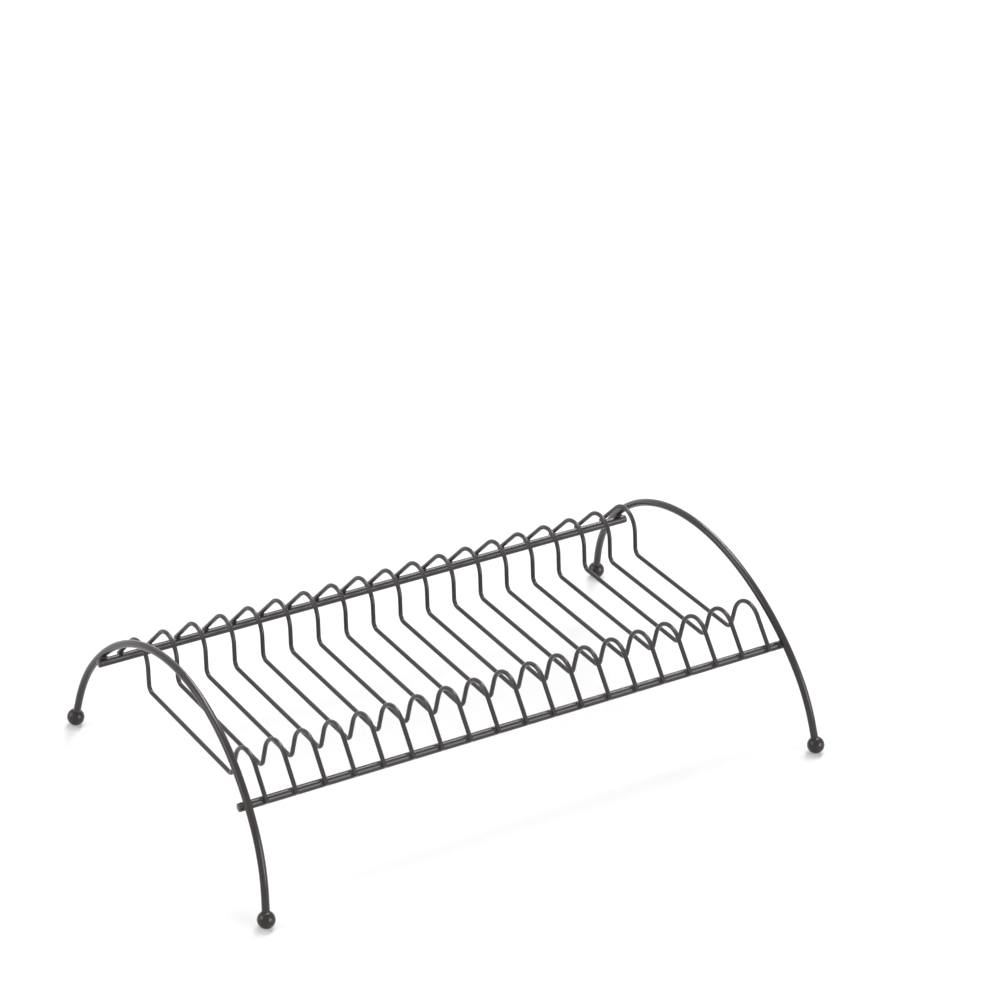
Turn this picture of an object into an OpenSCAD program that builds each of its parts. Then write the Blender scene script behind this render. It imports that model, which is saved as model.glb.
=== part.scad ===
// Dish drying rack: a welded frame of round steel rod with nineteen plate dividers.
// Two rails run along the length, two end arches carry them and stand on four ball feet,
// and nineteen bent wires cross from rail to rail and rise as a hoop above each rail.
// Origin: centre of the footprint, on the floor. +X runs along the length, +Z is up.
// All sizes are in millimetres and all angles in degrees.

/* [Overall size] */
// Length over the outer faces of the foot balls
overall_length = 300; // [280:1:360]
// Depth over the outer faces of the foot balls
overall_depth = 202.5; // [190:0.5:214]
// Height from the floor to the top of the end arches
overall_height = 81; // [76:0.5:90]

/* [Foot balls] */
// Diameter of each foot ball
foot_ball_diameter = 8.3; // [7:0.1:12]
// Clearance all round between an arch leg and the socket wall in its foot ball
leg_socket_clearance = 0.05; // [0.02:0.01:0.2]

/* [End arches] */
// Rod diameter of the end arches
arch_rod_diameter = 3.6; // [3:0.1:4.5]
// Lean of each arch from upright, toward the middle of the rack
arch_lean = 5.25; // [0:0.05:10]
// Angle that the long crown of the arch turns through on each side of its top
crown_half_angle = 50.5; // [46:0.1:54]
// Bend radius of the two shoulders of the arch, on the rod centre line
arch_shoulder_radius = 68; // [50:0.5:75]
// Angle of the straight arch legs from upright, seen from the end
arch_leg_angle = 14.3; // [10:0.1:17]
// Straight length left between the crown and each shoulder
crown_end_straight = 1; // [0.5:0.5:4]

/* [Rails] */
// Rod diameter of the two rails
rail_rod_diameter = 4.1; // [3.5:0.1:5]
// Height of the rail centre lines above the floor
rail_height = 46.6; // [42:0.1:50]
// Length of rail that stands past the arch centre line at each end
rail_overhang = 3.1; // [2.8:0.1:8]
// Rounding of the rim at each rail end
rail_end_rounding = 1; // [0.4:0.1:1.4]

/* [Divider wires] */
// Wire diameter of the dividers
divider_wire_diameter = 2.1; // [1.6:0.1:2.6]
// Distance along a rail from the arch centre line to the first divider
divider_end_gap = 9.2; // [7:0.1:14]
// Lean of each divider toward the right, about the height of the rails
divider_lean = 3.6; // [0:0.1:5]
// Height of the top of the divider hoops above the floor, with the divider upright
hoop_top_height = 64.1; // [60:0.1:72]
// Bend radius at the top of the hoops, on the wire centre line
hoop_bend_radius = 10.7; // [7:0.1:12]
// Angle of the outer hoop leg from upright
hoop_outer_leg_angle = 44.4; // [38:0.1:48]
// Angle of the inner hoop leg from upright
hoop_inner_leg_angle = 10.9; // [6:0.1:22]
// Height of the wire centre line where the dividers cross the rack
floor_wire_height = 43.8; // [38:0.1:46]
// Bend radius at the foot of the inner hoop leg, on the wire centre line
floor_bend_radius = 4; // [2:0.1:6]
// Length of wire that runs past its weld on the rail
divider_tail = 1.7; // [1:0.1:4]

/* [Welds] */
// Depth that each welded rod is set into the rail it crosses
weld_set_down = 0.12; // [0.08:0.02:0.3]

/* [Hidden] */
divider_count = 19;
coat = [0.23, 0.22, 0.22];
bend_swell = 0.01;
bend_entry = 0.1;
rod_facets = 40;
$fn = rod_facets;

// Foot centres
foot_radius = foot_ball_diameter / 2;
foot_x = overall_length / 2 - foot_radius;
foot_y = overall_depth / 2 - foot_radius;

// Arch centre line, in the leaning plane of the arch: heights start at the foot centre.
// The crown radius and the leg length are those that bring both legs to the feet.
arch_rise = (overall_height - arch_rod_diameter / 2 - foot_radius) / cos(arch_lean);
shoulder_start = crown_half_angle + arch_leg_angle;
crown_radius = (foot_y * cos(arch_leg_angle) - arch_rise * sin(arch_leg_angle)
                - crown_end_straight * cos(shoulder_start)
                - arch_shoulder_radius * (1 - sin(shoulder_start)))
               / (sin(shoulder_start) - sin(arch_leg_angle));
crown_centre = arch_rise - crown_radius;
shoulder_centre_y = (crown_radius - arch_shoulder_radius) * sin(crown_half_angle)
                    + crown_end_straight * cos(crown_half_angle);
shoulder_centre_rise = crown_centre
                       + (crown_radius - arch_shoulder_radius) * cos(crown_half_angle)
                       - crown_end_straight * sin(crown_half_angle);
shoulder_angle = 90 - shoulder_start;
arch_leg_length = (shoulder_centre_rise + arch_shoulder_radius * sin(arch_leg_angle))
                  / cos(arch_leg_angle);

// Rails rest inside the arches, set into them by the weld: on the crown, or lower down
// on the shoulder
arch_contact = (rail_rod_diameter + arch_rod_diameter) / 2 - weld_set_down;
rail_rise = (rail_height - foot_radius) / cos(arch_lean);
crown_end_rise = crown_centre + (crown_radius - arch_contact) * cos(crown_half_angle);
rail_y = rail_rise > crown_end_rise
         ? sqrt(pow(crown_radius - arch_contact, 2) - pow(rail_rise - crown_centre, 2))
         : shoulder_centre_y + sqrt(pow(arch_shoulder_radius - arch_contact, 2)
                                    - pow(rail_rise - shoulder_centre_rise, 2));
arch_x_at_rail = foot_x - (rail_height - foot_radius) * tan(arch_lean);
rail_length = 2 * (arch_x_at_rail + rail_overhang);

// Divider centre line, front half: the outer leg lies against the outside of the rail
divider_pitch = 2 * (arch_x_at_rail - divider_end_gap) / (divider_count - 1);
wire_contact = (rail_rod_diameter + divider_wire_diameter) / 2 - weld_set_down;
hoop_centre_z = hoop_top_height - divider_wire_diameter / 2 - hoop_bend_radius;
hoop_centre_y = rail_y + (sin(hoop_outer_leg_angle) * (rail_height - hoop_centre_z)
                + wire_contact - hoop_bend_radius) / cos(hoop_outer_leg_angle);
weld_y = rail_y + wire_contact * cos(hoop_outer_leg_angle);
weld_z = rail_height + wire_contact * sin(hoop_outer_leg_angle);
leg_top_z = hoop_centre_z + hoop_bend_radius * sin(hoop_outer_leg_angle);
outer_leg_length = (leg_top_z - weld_z) / cos(hoop_outer_leg_angle) + divider_tail;
wire_start_y = weld_y + divider_tail * sin(hoop_outer_leg_angle);
wire_start_z = weld_z - divider_tail * cos(hoop_outer_leg_angle);
hoop_turn = 180 - hoop_outer_leg_angle - hoop_inner_leg_angle;
inner_leg_length = (hoop_centre_z + hoop_bend_radius * sin(hoop_inner_leg_angle)
                   - floor_wire_height
                   - floor_bend_radius * (1 - sin(hoop_inner_leg_angle)))
                   / cos(hoop_inner_leg_angle);
floor_turn = 90 - hoop_inner_leg_angle;
floor_half_run = hoop_centre_y
                 - (hoop_bend_radius + floor_bend_radius) * cos(hoop_inner_leg_angle)
                 - inner_leg_length * sin(hoop_inner_leg_angle);

arch_path = [[arch_leg_length, -shoulder_angle, arch_shoulder_radius],
             [crown_end_straight, -2 * crown_half_angle, crown_radius],
             [crown_end_straight, -shoulder_angle, arch_shoulder_radius],
             [arch_leg_length, 0, 0]];
divider_path = [[outer_leg_length, -hoop_turn, hoop_bend_radius],
                [inner_leg_length, floor_turn, floor_bend_radius],
                [2 * floor_half_run, floor_turn, floor_bend_radius],
                [inner_leg_length, -hoop_turn, hoop_bend_radius],
                [outer_leg_length, 0, 0]];

// Straight rod from the origin along +X
module rod(diameter, length) {
  rotate([0, 90, 0])
    cylinder(d = diameter, h = length);
}

// Facets in a full turn of a bend: more on a wide one, so that its chords stay short
function turn_facets(radius) = rod_facets + ceil(radius / 2);

// Bend in the XY plane that starts at the origin along +X; a positive angle turns left.
// It is a hair thicker than the rod, whose end goes inside it.
module bend(diameter, angle, radius) {
  mirror([0, angle < 0 ? 1 : 0, 0])
    translate([0, radius, 0])
      rotate([0, 0, -90])
        rotate_extrude(angle = abs(angle), $fn = turn_facets(radius))
          translate([radius, 0])
            circle(d = diameter + 2 * bend_swell, $fn = rod_facets);
}

// Rod bent along a list of steps, each one [straight length, bend angle, bend radius].
// The last step has no bend.
module bent_rod(diameter, path, index = 0) {
  length = path[index][0];
  angle = path[index][1];
  radius = path[index][2];
  entry = index > 0 ? bend_entry : 0;
  exit = angle != 0 ? bend_entry : 0;
  translate([-entry, 0, 0])
    rod(diameter, entry + length + exit);
  if (angle != 0)
    translate([length, 0, 0]) {
      bend(diameter, angle, radius);
      translate([radius * sin(abs(angle)), sign(angle) * radius * (1 - cos(angle)), 0])
        rotate([0, 0, angle])
          bent_rod(diameter, path, index + 1);
    }
}

// Turns the XY bending plane upright: X becomes depth and Y becomes height
module upright() {
  rotate([90, 0, 90])
    children();
}

// Puts its children in the leaning plane of one arch, from the middle between its feet
module arch_plane(side) {
  translate([side * foot_x, 0, foot_radius])
    rotate([0, -side * arch_lean, 0])
      upright()
        children();
}

// Rail bar with rounded rims, along X; side is -1 at the front and 1 at the rear
module rail_bar(side) {
  straight = rail_length - 2 * rail_end_rounding;
  core = rail_rod_diameter / 2 - rail_end_rounding;
  translate([-rail_length / 2, side * rail_y, rail_height])
    rotate([0, 90, 0])
      union() {
        translate([0, 0, rail_end_rounding])
          cylinder(d = rail_rod_diameter, h = straight);
        cylinder(r = core, h = rail_length);
        for (z = [rail_end_rounding, rail_length - rail_end_rounding])
          translate([0, 0, z])
            rotate_extrude()
              translate([core, 0])
                circle(r = rail_end_rounding);
      }
}

// Space taken by both rails, cut from the rods that are welded to them
module rail_seats() {
  for (side = [-1, 1])
    translate([-rail_length, side * rail_y, rail_height])
      rotate([0, 90, 0])
        cylinder(d = rail_rod_diameter, h = 2 * rail_length);
}

// End arch; side is -1 at the left and 1 at the right
module end_arch(side) {
  difference() {
    arch_plane(side)
      translate([-foot_y, 0, 0])
        rotate([0, 0, 90 - arch_leg_angle])
          bent_rod(arch_rod_diameter, arch_path);
    rail_seats();
  }
}

// Foot ball with a blind socket for the arch leg, whose end stops at the ball centre
module foot_ball(side, end) {
  difference() {
    translate([side * foot_x, end * foot_y, foot_radius])
      sphere(r = foot_radius);
    arch_plane(side)
      translate([end * foot_y, 0, 0])
        rotate([0, 0, 90 + end * arch_leg_angle])
          rod(arch_rod_diameter + 2 * leg_socket_clearance, foot_ball_diameter);
  }
}

// Divider wire number 1 to 19, counted from the left end
module divider_wire(number) {
  difference() {
    translate([(number - (divider_count + 1) / 2) * divider_pitch, 0, rail_height])
      rotate([0, divider_lean, 0])
        upright()
          translate([-wire_start_y, wire_start_z - rail_height, 0])
            rotate([0, 0, 90 - hoop_outer_leg_angle])
              bent_rod(divider_wire_diameter, divider_path);
    rail_seats();
  }
}

module front_rail() color(coat) rail_bar(-1);
module rear_rail() color(coat) rail_bar(1);
module left_arch() color(coat) end_arch(-1);
module right_arch() color(coat) end_arch(1);
module foot_front_left() color(coat) foot_ball(-1, -1);
module foot_front_right() color(coat) foot_ball(1, -1);
module foot_rear_left() color(coat) foot_ball(-1, 1);
module foot_rear_right() color(coat) foot_ball(1, 1);
module divider_01() color(coat) divider_wire(1);
module divider_02() color(coat) divider_wire(2);
module divider_03() color(coat) divider_wire(3);
module divider_04() color(coat) divider_wire(4);
module divider_05() color(coat) divider_wire(5);
module divider_06() color(coat) divider_wire(6);
module divider_07() color(coat) divider_wire(7);
module divider_08() color(coat) divider_wire(8);
module divider_09() color(coat) divider_wire(9);
module divider_10() color(coat) divider_wire(10);
module divider_11() color(coat) divider_wire(11);
module divider_12() color(coat) divider_wire(12);
module divider_13() color(coat) divider_wire(13);
module divider_14() color(coat) divider_wire(14);
module divider_15() color(coat) divider_wire(15);
module divider_16() color(coat) divider_wire(16);
module divider_17() color(coat) divider_wire(17);
module divider_18() color(coat) divider_wire(18);
module divider_19() color(coat) divider_wire(19);

front_rail();
rear_rail();
left_arch();
right_arch();
foot_front_left();
foot_front_right();
foot_rear_left();
foot_rear_right();
divider_01();
divider_02();
divider_03();
divider_04();
divider_05();
divider_06();
divider_07();
divider_08();
divider_09();
divider_10();
divider_11();
divider_12();
divider_13();
divider_14();
divider_15();
divider_16();
divider_17();
divider_18();
divider_19();
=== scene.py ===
"""Dish drying rack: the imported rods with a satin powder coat, weld beads where the rods cross,
rounded wire tips and a bead of coat where each leg enters its foot ball. All sizes in metres."""

import math

import bpy
from mathutils import Matrix, Vector


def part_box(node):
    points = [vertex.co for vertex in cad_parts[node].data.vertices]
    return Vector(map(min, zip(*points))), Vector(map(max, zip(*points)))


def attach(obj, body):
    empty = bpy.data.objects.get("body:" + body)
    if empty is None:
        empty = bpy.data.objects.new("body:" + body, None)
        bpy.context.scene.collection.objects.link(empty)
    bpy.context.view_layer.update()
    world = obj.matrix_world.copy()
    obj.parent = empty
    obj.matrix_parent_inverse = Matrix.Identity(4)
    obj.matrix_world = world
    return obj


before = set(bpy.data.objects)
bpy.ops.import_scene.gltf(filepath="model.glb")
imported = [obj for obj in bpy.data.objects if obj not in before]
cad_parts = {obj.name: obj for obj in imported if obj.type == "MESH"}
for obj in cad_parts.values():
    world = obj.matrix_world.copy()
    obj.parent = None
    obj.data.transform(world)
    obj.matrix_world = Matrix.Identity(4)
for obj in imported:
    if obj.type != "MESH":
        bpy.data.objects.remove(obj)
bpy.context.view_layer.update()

MM = 0.001
DIVIDERS = [f"divider_{number:02d}" for number in range(1, 20)]
RAIL_WAY = Vector((1, 0, 0))             # the rails run along X

# Angles of the rods where they are welded, as in the frame
HOOP_LEG_ANGLE = math.radians(44.4)      # outer hoop leg from upright
DIVIDER_LEAN = math.radians(3.6)         # divider from upright, toward the right
ARCH_LEAN = math.radians(5.25)           # arch from upright, toward the middle
ARCH_SLOPE = math.radians(44.7)          # crown of the arch from level, at the rail
ARCH_LEG_ANGLE = math.radians(14.3)      # straight arch leg from upright

# Radii of the rods and depth of each weld, as in the frame
RAIL_RADIUS = 2.05 * MM
ARCH_RADIUS = 1.8 * MM
WIRE_RADIUS = 1.05 * MM
WELD_SET_DOWN = 0.12 * MM
WIRE_PAST_WELD = 1.7 * MM

# Weld beads: how far the stubs reach, size of the drop of weld, rounds of smoothing
WIRE_BEAD_REACH = 2.2 * MM
WIRE_BEAD_DROP = (3.4 * MM, 2.8 * MM, 1.3 * MM)
WIRE_BEAD_SMOOTHING = 12
ARCH_BEAD_REACH = 3.2 * MM
ARCH_BEAD_DROP = (4.8 * MM, 3.6 * MM, 1.5 * MM)
ARCH_BEAD_SMOOTHING = 16
BEAD_SUNK = 0.03 * MM                    # bead below the surface of the bare rods
BEAD_VOXEL = 0.1 * MM
BEAD_FACES_KEPT = 0.2

# Rounded rims
ROUNDING_STEPS = 4
STUB_ROUNDING = 0.4 * MM
TIP_ROUNDING = 0.2 * MM

# Wire tips and the beads of coat at the balls
TIP_LENGTH = 0.6 * MM
TIP_PAST_END = 0.1 * MM
TIP_COAT = 0.02 * MM
COLLAR_LIP = 0.18 * MM
COLLAR_CLEARANCE = 0.05 * MM

# Shades of the coat, from the dark patches to the light ones
RAIL_SHADES = ((0.023, 0.015, 0.016), (0.033, 0.029, 0.028))
ARCH_SHADES = ((0.020, 0.013, 0.014), (0.029, 0.025, 0.024))
WIRE_SHADES = ((0.029, 0.021, 0.022), (0.040, 0.036, 0.035))
FOOT_SHADES = ((0.013, 0.008, 0.008), (0.019, 0.013, 0.013))
WELD_SHADES = ((0.020, 0.013, 0.014), (0.030, 0.026, 0.025))
# Lighter coat where it is worn, which at the rail ends and the tops of arches and hoops is also
# painted highlight
WORN_AND_HIGHLIT_SHADE = (0.045, 0.038, 0.037)

# Texture of the coat: size in cycles per metre, and depth
COAT_GRAIN = 2400.0
COAT_DEPTH = 0.012 * MM
WELD_GRAIN = 1500.0
WELD_DEPTH = 0.02 * MM
CLOUD_GRAIN = 55.0
SPECK_GRAIN = 3.1                        # times the grain of the coat
TEXTURE_STRENGTH = 0.35

# Gloss of the coat
COAT_ROUGHNESS = (0.17, 0.26)            # over the orange peel
RUBBED_POLISH = 0.05                     # roughness lost where the coat is rubbed
COAT_SPECULAR = 0.42

# How far the lighter coat reaches: worn coat, and at the rail ends and tops also painted highlight
RAIL_END_WEAR_AND_HIGHLIGHT = 1.2 * MM
ARCH_TOP_WEAR_AND_HIGHLIGHT = 3 * MM
HOOP_TOP_WEAR_AND_HIGHLIGHT = 2.5 * MM
FOOT_WEAR = 0.9 * MM

# Stage
FLOOR_RADIUS = 7.0
FLOOR_SHADE = 0.98
FLOOR_OWN_WHITE = 0.2
SURROUND_LIGHT = 0.38
# Each lamp: name, direction from the rack, strength, width in degrees
LAMPS = (
    ("front_right", (0.45, -0.85, 0.27), 1.6, 40),
    ("left", (-0.80, 0.29, 0.52), 1.0, 45),
    ("overhead", (0.12, 0.27, 0.96), 0.4, 16),
    ("overhead_right", (0.43, 0.28, 0.86), 1.1, 24),
    ("rear_right", (0.58, 0.56, 0.59), 0.8, 18),
)


# ---------------------------------------------------------------- materials

def connect(material, source, target):
    material.node_tree.links.new(source, target)


def new_material(name):
    """An empty node material, with its shader ready."""
    material = bpy.data.materials.new(name)
    material.use_nodes = True
    nodes = material.node_tree.nodes
    nodes.clear()
    output = nodes.new("ShaderNodeOutputMaterial")
    shader = nodes.new("ShaderNodeBsdfPrincipled")
    connect(material, shader.outputs["BSDF"], output.inputs["Surface"])
    return material, shader


def place_on_object(material):
    """Object coordinates, which stay with the rod."""
    return material.node_tree.nodes.new("ShaderNodeTexCoord").outputs["Object"]


def noise(material, place, scale, detail, roughness=0.5):
    """Noise of the given scale, in cycles per metre."""
    node = material.node_tree.nodes.new("ShaderNodeTexNoise")
    node.inputs["Scale"].default_value = scale
    node.inputs["Detail"].default_value = detail
    node.inputs["Roughness"].default_value = roughness
    connect(material, place, node.inputs["Vector"])
    return node.outputs["Fac"]


def spread(material, value, low, high, to_low, to_high):
    """The value's range from low to high, mapped to another range and held there."""
    node = material.node_tree.nodes.new("ShaderNodeMapRange")
    node.inputs["From Min"].default_value = low
    node.inputs["From Max"].default_value = high
    node.inputs["To Min"].default_value = to_low
    node.inputs["To Max"].default_value = to_high
    connect(material, value, node.inputs["Value"])
    return node.outputs["Result"]


def combine(material, operation, first, second):
    """Two values, or a value and a number, combined."""
    node = material.node_tree.nodes.new("ShaderNodeMath")
    node.operation = operation
    for socket, value in zip(node.inputs, (first, second)):
        if isinstance(value, (int, float)):
            socket.default_value = value
        else:
            connect(material, value, socket)
    return node.outputs["Value"]


def blend_colours(material, share, first, second):
    """A colour between two, by the share of the second."""
    node = material.node_tree.nodes.new("ShaderNodeMix")
    node.data_type = "RGBA"
    connect(material, share, node.inputs["Factor"])
    for socket, colour in ((node.inputs[6], first), (node.inputs[7], second)):
        if isinstance(colour, tuple):
            socket.default_value = (*colour, 1.0)
        else:
            connect(material, colour, socket)
    return node.outputs[2]


def powder_coat(name, shades, wear_and_highlight=None, grain=COAT_GRAIN, texture_depth=COAT_DEPTH):
    """Satin powder coat: cloudy tone, fine orange peel, and a lighter, glossier coat where the
    piece is worn, which at tops and rail ends is also painted highlight. A mask function of
    (material, place), when given, gives the share of that lighter coat at each point."""
    material, shader = new_material(name)
    place = place_on_object(material)
    cloud = noise(material, place, CLOUD_GRAIN, 2.0)
    peel = noise(material, place, grain, 3.0, 0.55)
    speck = noise(material, place, SPECK_GRAIN * grain, 1.0)
    tone = combine(material, "ADD",
                   spread(material, cloud, 0.3, 0.7, 0.0, 0.6),
                   spread(material, speck, 0.35, 0.7, 0.0, 0.4))
    colour = blend_colours(material, tone, *shades)
    roughness = spread(material, peel, 0.3, 0.7, *COAT_ROUGHNESS)
    if wear_and_highlight:
        # Worn coat, and painted highlight at the tops and rail ends: lighter and glossier in
        # patches
        patches = spread(material, peel, 0.42, 0.58, 0.0, 1.0)
        worn_and_highlit = combine(material, "MULTIPLY", wear_and_highlight(material, place), patches)
        polish = combine(material, "MULTIPLY", worn_and_highlit, RUBBED_POLISH)
        colour = blend_colours(material, worn_and_highlit, colour, WORN_AND_HIGHLIT_SHADE)
        roughness = combine(material, "SUBTRACT", roughness, polish)
    connect(material, colour, shader.inputs["Base Color"])
    connect(material, roughness, shader.inputs["Roughness"])
    shader.inputs["Specular IOR Level"].default_value = COAT_SPECULAR
    bump = material.node_tree.nodes.new("ShaderNodeBump")
    bump.inputs["Strength"].default_value = TEXTURE_STRENGTH
    bump.inputs["Distance"].default_value = texture_depth
    connect(material, peel, bump.inputs["Height"])
    connect(material, bump.outputs["Normal"], shader.inputs["Normal"])
    return material


def along_axis(material, place, axis):
    """One coordinate of the place on the object."""
    axes = material.node_tree.nodes.new("ShaderNodeSeparateXYZ")
    connect(material, place, axes.inputs["Vector"])
    return axes.outputs[axis]


def height_wear_and_highlight(start, full):
    """Lighter coat that grows from one height to another: worn coat, and at the tops also painted
    highlight.
    """
    def share(material, place):
        return spread(material, along_axis(material, place, "Z"), start, full, 0.0, 1.0)
    return share


def end_wear_and_highlight(start, full):
    """Lighter coat at both ends of a rod that lies along X: worn coat and painted highlight."""
    def share(material, place):
        out = combine(material, "ABSOLUTE", along_axis(material, place, "X"), 0.0)
        return spread(material, out, start, full, 0.0, 1.0)
    return share


def coat_node(node, material):
    """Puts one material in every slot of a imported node."""
    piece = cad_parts[node]
    if not piece.material_slots:
        piece.data.materials.append(material)
    for slot in piece.material_slots:
        slot.material = material


# ---------------------------------------------------------------- modelling

def start_clean():
    """Object mode, with nothing selected."""
    if bpy.context.object and bpy.context.object.mode != "OBJECT":
        bpy.ops.object.mode_set(mode="OBJECT")
    bpy.ops.object.select_all(action="DESELECT")


def apply_place():
    """Puts the place of what is selected into its mesh."""
    bpy.ops.object.transform_apply(location=True, rotation=True, scale=True)


def apply_modifier(piece, kind, **settings):
    modifier = piece.modifiers.new(kind.lower(), kind)
    for name, value in settings.items():
        setattr(modifier, name, value)
    bpy.context.view_layer.objects.active = piece
    bpy.ops.object.modifier_apply(modifier=modifier.name)


def round_rims(rounding):
    """Rounds every edge of the new piece, as far as its narrow sides leave room."""
    bpy.ops.object.mode_set(mode="EDIT")
    bpy.ops.mesh.select_all(action="SELECT")
    bpy.ops.mesh.bevel(offset=rounding, segments=ROUNDING_STEPS, affect="EDGES",
                       clamp_overlap=True)
    bpy.ops.object.mode_set(mode="OBJECT")


def rod_stub(radius, length, height, way):
    """Short rod with rounded rims, centred at the given height."""
    start_clean()
    bpy.ops.mesh.primitive_cylinder_add(vertices=48, radius=radius, depth=length,
                                        location=(0, 0, height),
                                        rotation=way.to_track_quat("Z", "Y").to_euler())
    round_rims(STUB_ROUNDING)
    return bpy.context.object


def weld_drop(length, width, thickness):
    """Flat drop of weld metal, long in X, squeezed out where the rods touch."""
    start_clean()
    bpy.ops.mesh.primitive_uv_sphere_add(segments=32, ring_count=20, radius=1.0 * MM)
    bpy.ops.object.mode_set(mode="EDIT")
    bpy.ops.mesh.select_all(action="SELECT")
    bpy.ops.transform.resize(value=(length / (2 * MM), width / (2 * MM), thickness / (2 * MM)))
    bpy.ops.object.mode_set(mode="OBJECT")
    return bpy.context.object


def crossing_bead(rod_radius, rod, reach, drop_size, smoothing):
    """Weld between a rail and a rod that crosses over it, modelled around the point where they
    touch, with X along the rail and Z out of it. Two stubs, a hair thinner than the rods, and a
    drop of weld are merged and smoothed, so that only the filled crease stands out of the rods."""
    rod_in_seat = seat_at(Vector(), RAIL_WAY, off_rail(rod)).inverted().to_3x3() @ rod
    stubs = (rod_stub(RAIL_RADIUS - BEAD_SUNK, 2 * reach, -RAIL_RADIUS, RAIL_WAY),
             rod_stub(rod_radius - BEAD_SUNK, 2 * reach, rod_radius - WELD_SET_DOWN, rod_in_seat),
             weld_drop(*drop_size))
    start_clean()
    for stub in stubs:
        stub.select_set(True)
    bead = stubs[0]
    bpy.context.view_layer.objects.active = bead
    bpy.ops.object.join()
    apply_place()
    apply_modifier(bead, "REMESH", mode="VOXEL", voxel_size=BEAD_VOXEL)
    apply_modifier(bead, "SMOOTH", factor=0.6, iterations=smoothing)
    apply_modifier(bead, "DECIMATE", ratio=BEAD_FACES_KEPT)
    bpy.ops.object.shade_smooth()
    return bead


def leg_collar(name):
    """Bead of coat round a leg where it enters its ball: a round lip, spun about Z."""
    start_clean()
    bpy.ops.mesh.primitive_circle_add(vertices=12, radius=COLLAR_LIP,
                                      location=(ARCH_RADIUS + COLLAR_CLEARANCE, 0, 0),
                                      rotation=(math.pi / 2, 0, 0))
    piece = bpy.context.object
    apply_place()
    bpy.ops.object.mode_set(mode="EDIT")
    bpy.ops.mesh.select_all(action="SELECT")
    bpy.ops.mesh.spin(steps=48, angle=2 * math.pi, center=(0, 0, 0), axis=(0, 0, 1))
    bpy.ops.mesh.select_all(action="SELECT")
    bpy.ops.mesh.remove_doubles(threshold=0.001 * MM)
    bpy.ops.mesh.normals_make_consistent(inside=False)
    bpy.ops.object.mode_set(mode="OBJECT")
    bpy.ops.object.shade_smooth()
    piece.name = name
    return piece


def wire_tip(name):
    """Cut end of a divider wire, its rim rounded by the coat. Y runs back up the wire, from the
    end of the wire at the origin."""
    start_clean()
    bpy.ops.mesh.primitive_cylinder_add(vertices=32, radius=WIRE_RADIUS + TIP_COAT,
                                        depth=TIP_LENGTH,
                                        location=(0, TIP_LENGTH / 2 - TIP_PAST_END, 0),
                                        rotation=(math.pi / 2, 0, 0))
    piece = bpy.context.object
    apply_place()
    round_rims(TIP_ROUNDING)
    bpy.ops.object.shade_smooth_by_angle(angle=math.radians(40))
    piece.name = name
    return piece


def put_copy(pattern, name, seat, material):
    """A copy of the pattern with its own mesh, moved to its seat, riding on the rack."""
    piece = pattern.copy()
    piece.data = pattern.data.copy()
    piece.name = name
    bpy.context.scene.collection.objects.link(piece)
    piece.data.transform(seat)
    piece.data.materials.clear()
    piece.data.materials.append(material)
    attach(piece, "root")
    return piece


def remove(piece):
    """Removes a pattern and its mesh."""
    bpy.data.meshes.remove(piece.data)


# ---------------------------------------------------------------- places

def seat_at(point, across, out):
    """Where a piece goes: its X along the given direction and its Z out of the rail."""
    z = out.normalized()
    y = z.cross(across).normalized()
    x = y.cross(z)
    turn = Matrix((x, y, z)).transposed().to_4x4()
    return Matrix.Translation(point) @ turn


def off_rail(rod):
    """Direction from a rail to a rod that crosses over it, square to both."""
    out = rod.cross(RAIL_WAY).normalized()
    return out if out.z > 0 else -out


def middle(node):
    """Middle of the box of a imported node."""
    low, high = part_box(node)
    return (low + high) / 2


def leaning_up(lean):
    """Upward direction in a plane that leans toward the right by the given angle."""
    return Vector((math.sin(lean), 0, math.cos(lean)))


def ball_in_box(low, high):
    """Middle and radius of a foot ball, from the corners of its box."""
    radius = (high.x - low.x) / 2
    ball_middle = (low + high) / 2
    ball_middle.z = low.z + radius
    return ball_middle, radius


def wire_at_rail(divider, rail_middle):
    """Where the plane of a divider crosses the middle line of a rail."""
    place = rail_middle.copy()
    wire_middle = middle(divider)
    place.x = wire_middle.x - (wire_middle.z - rail_middle.z) * math.tan(DIVIDER_LEAN)
    return place


def arch_at_rail(side, arch, rail):
    """Where the plane of an arch crosses the middle line of a rail."""
    place = middle(f"{rail}_rail")
    low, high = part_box(f"foot_{rail}_{arch}")
    ball_middle, ball_radius = ball_in_box(low, high)
    place.x = ball_middle.x - side * (place.z - ball_radius) * math.tan(ARCH_LEAN)
    return place


def add_wire_welds(tip, material):
    """A weld bead and a rounded tip at both ends of each divider."""
    up = leaning_up(DIVIDER_LEAN)
    centre_gap = RAIL_RADIUS + WIRE_RADIUS - WELD_SET_DOWN
    for end, rail in ((-1, "front"), (1, "rear")):
        outward = Vector((0, end, 0))
        down_wire = math.sin(HOOP_LEG_ANGLE) * outward - math.cos(HOOP_LEG_ANGLE) * up
        off_centre = math.cos(HOOP_LEG_ANGLE) * outward + math.sin(HOOP_LEG_ANGLE) * up
        out = off_rail(down_wire)
        bead = crossing_bead(WIRE_RADIUS, down_wire, WIRE_BEAD_REACH, WIRE_BEAD_DROP,
                             WIRE_BEAD_SMOOTHING)
        for node in DIVIDERS:
            wire = wire_at_rail(node, middle(f"{rail}_rail")) + centre_gap * off_centre
            touch = wire - (WIRE_RADIUS - WELD_SET_DOWN) * out
            label = rail + node.removeprefix("divider")
            seat = seat_at(touch, RAIL_WAY, out)
            put_copy(bead, f"weld_bead_{label}", seat, material)
            seat = seat_at(wire + WIRE_PAST_WELD * down_wire, out.cross(down_wire), out)
            put_copy(tip, f"wire_tip_{label}", seat, material)
        remove(bead)


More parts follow.
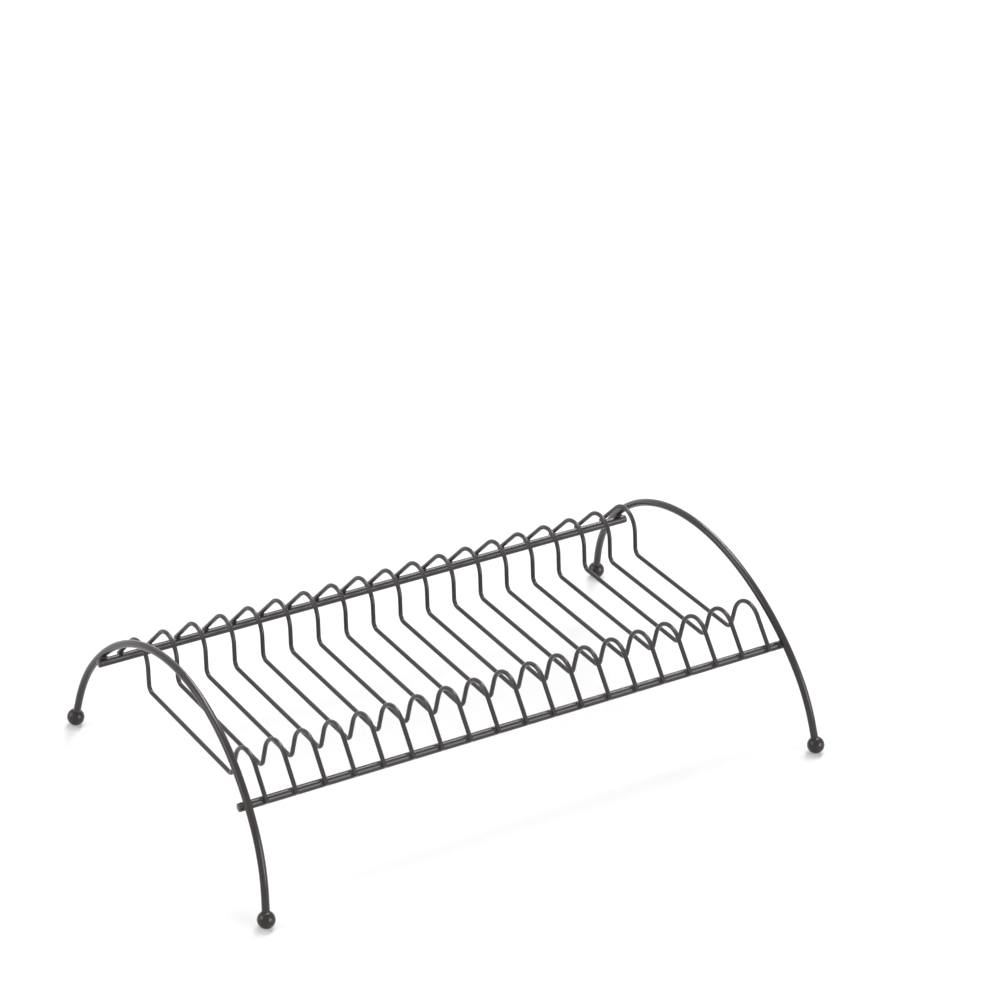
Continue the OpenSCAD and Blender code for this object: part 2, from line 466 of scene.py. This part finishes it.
def add_arch_welds(material):
    """A weld bead where each arch crosses each rail."""
    centre_gap = RAIL_RADIUS + ARCH_RADIUS - WELD_SET_DOWN
    for side, arch in ((-1, "left"), (1, "right")):
        up = leaning_up(-side * ARCH_LEAN)
        for end, rail in ((-1, "front"), (1, "rear")):
            outward = Vector((0, end, 0))
            down_arch = math.cos(ARCH_SLOPE) * outward - math.sin(ARCH_SLOPE) * up
            off_centre = math.sin(ARCH_SLOPE) * outward + math.cos(ARCH_SLOPE) * up
            out = off_rail(down_arch)
            rod = arch_at_rail(side, arch, rail) + centre_gap * off_centre
            touch = rod - (ARCH_RADIUS - WELD_SET_DOWN) * out
            seat = seat_at(touch, RAIL_WAY, out)
            bead = crossing_bead(ARCH_RADIUS, down_arch, ARCH_BEAD_REACH, ARCH_BEAD_DROP,
                                 ARCH_BEAD_SMOOTHING)
            put_copy(bead, f"arch_weld_{rail}_{arch}", seat, material)
            remove(bead)


def add_leg_collars(collar, material):
    """A bead of coat where each arch leg enters its ball."""
    for side, arch in ((-1, "left"), (1, "right")):
        for end, row in ((-1, "front"), (1, "rear")):
            low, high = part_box(f"foot_{row}_{arch}")
            ball_middle, ball_radius = ball_in_box(low, high)
            inward = Vector((0, -end, 0))
            up = leaning_up(-side * ARCH_LEAN)
            leg = math.sin(ARCH_LEG_ANGLE) * inward + math.cos(ARCH_LEG_ANGLE) * up
            entry = ball_middle + leg * math.sqrt(ball_radius ** 2 - ARCH_RADIUS ** 2)
            seat = seat_at(entry, RAIL_WAY, leg)
            put_copy(collar, f"leg_collar_{row}_{arch}", seat, material)


# ---------------------------------------------------------------- stage

def seen_or_mirrored(nodes, links):
    """1 where a surface is seen by the camera, in a mirror finish or through glass, 0 elsewhere."""
    path = nodes.new("ShaderNodeLightPath")
    seen = path.outputs["Is Camera Ray"]
    for ray in ("Is Glossy Ray", "Is Transmission Ray"):
        either = nodes.new("ShaderNodeMath")
        either.operation = "MAXIMUM"
        links.new(seen, either.inputs[0])
        links.new(path.outputs[ray], either.inputs[1])
        seen = either.outputs["Value"]
    return seen


def pale_floor():
    """Pale matt floor that takes the shadow, partly plain white where it is seen or mirrored."""
    start_clean()
    bpy.ops.mesh.primitive_circle_add(vertices=96, radius=FLOOR_RADIUS, fill_type="NGON",
                                      location=(0, 0, 0))
    floor = bpy.context.object
    floor.name = "floor"
    material, shader = new_material("pale_floor")
    nodes = material.node_tree.nodes
    links = material.node_tree.links
    shader.inputs["Base Color"].default_value = (FLOOR_SHADE, FLOOR_SHADE, FLOOR_SHADE, 1.0)
    shader.inputs["Roughness"].default_value = 1.0
    shader.inputs["Specular IOR Level"].default_value = 0.0
    white = nodes.new("ShaderNodeEmission")
    white.inputs["Color"].default_value = (1.0, 1.0, 1.0, 1.0)
    white.inputs["Strength"].default_value = 1.0
    mix = nodes.new("ShaderNodeMixShader")
    share = combine(material, "MULTIPLY", seen_or_mirrored(nodes, links), FLOOR_OWN_WHITE)
    connect(material, share, mix.inputs["Fac"])
    connect(material, shader.outputs["BSDF"], mix.inputs[1])
    connect(material, white.outputs["Emission"], mix.inputs[2])
    output = next(node for node in nodes if node.type == "OUTPUT_MATERIAL")
    connect(material, mix.outputs["Shader"], output.inputs["Surface"])
    floor.data.materials.append(material)


def white_surround():
    """World that lights the rack softly, and is plain white where it is seen or mirrored."""
    world = bpy.data.worlds.new("surround")
    bpy.context.scene.world = world
    world.use_nodes = True
    nodes = world.node_tree.nodes
    links = world.node_tree.links
    nodes.clear()
    level = nodes.new("ShaderNodeMapRange")
    level.inputs["To Min"].default_value = SURROUND_LIGHT
    level.inputs["To Max"].default_value = 1.0
    links.new(seen_or_mirrored(nodes, links), level.inputs["Value"])
    background = nodes.new("ShaderNodeBackground")
    background.inputs["Color"].default_value = (1.0, 1.0, 1.0, 1.0)
    links.new(level.outputs["Result"], background.inputs["Strength"])
    output = nodes.new("ShaderNodeOutputWorld")
    links.new(background.outputs["Background"], output.inputs["Surface"])


def soft_sun(name, direction, strength, width):
    """Broad soft lamp; direction points from the rack to the lamp, width in degrees."""
    data = bpy.data.lights.new(name, "SUN")
    data.energy = strength
    data.angle = math.radians(width)
    lamp = bpy.data.objects.new(name, data)
    lamp.rotation_euler = Vector(direction).to_track_quat("Z", "Y").to_euler()
    bpy.context.scene.collection.objects.link(lamp)


def camera_view():
    """Camera at the front left, looking down on the rack."""
    place = Vector((-0.75265, -1.28419, 0.92117))
    heading = math.radians(31.316)
    dip = math.radians(28.050)
    roll = math.radians(0.942)
    data = bpy.data.cameras.new("camera")
    data.sensor_width = 36.0
    data.lens = 132.864
    camera = bpy.data.objects.new("camera", data)
    camera.matrix_world = (Matrix.Translation(place)
                           @ Matrix.Rotation(-heading, 4, "Z")
                           @ Matrix.Rotation(math.pi / 2 - dip, 4, "X")
                           @ Matrix.Rotation(roll, 4, "Z"))
    bpy.context.scene.collection.objects.link(camera)
    bpy.context.scene.camera = camera


# ---------------------------------------------------------------- the rack

camera_view()

hoop_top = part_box(DIVIDERS[0])[1].z
rail_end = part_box("front_rail")[1].x
arch_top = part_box("left_arch")[1].z

# Rail ends and the tops of arches and hoops get worn coat with painted highlight, the balls worn
# coat at the bottom
rail_coat = powder_coat("rail_coat", RAIL_SHADES, end_wear_and_highlight(rail_end - RAIL_END_WEAR_AND_HIGHLIGHT, rail_end))
arch_coat = powder_coat("arch_coat", ARCH_SHADES, height_wear_and_highlight(arch_top - ARCH_TOP_WEAR_AND_HIGHLIGHT, arch_top))
wire_coat = powder_coat("wire_coat", WIRE_SHADES, height_wear_and_highlight(hoop_top - HOOP_TOP_WEAR_AND_HIGHLIGHT, hoop_top))
foot_coat = powder_coat("foot_coat", FOOT_SHADES, height_wear_and_highlight(FOOT_WEAR, 0.0))
weld_coat = powder_coat("weld_coat", WELD_SHADES, grain=WELD_GRAIN, texture_depth=WELD_DEPTH)

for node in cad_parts:
    if "rail" in node:
        coat_node(node, rail_coat)
    elif "arch" in node:
        coat_node(node, arch_coat)
    elif "foot" in node:
        coat_node(node, foot_coat)
    else:
        coat_node(node, wire_coat)

tip = wire_tip("tip")
collar = leg_collar("collar")
add_wire_welds(tip, weld_coat)
add_arch_welds(weld_coat)
add_leg_collars(collar, foot_coat)
for pattern in (tip, collar):
    remove(pattern)

pale_floor()
white_surround()
for name, direction, strength, width in LAMPS:
    soft_sun(name, direction, strength, width)
bpy.context.scene.view_settings.view_transform = "Standard"
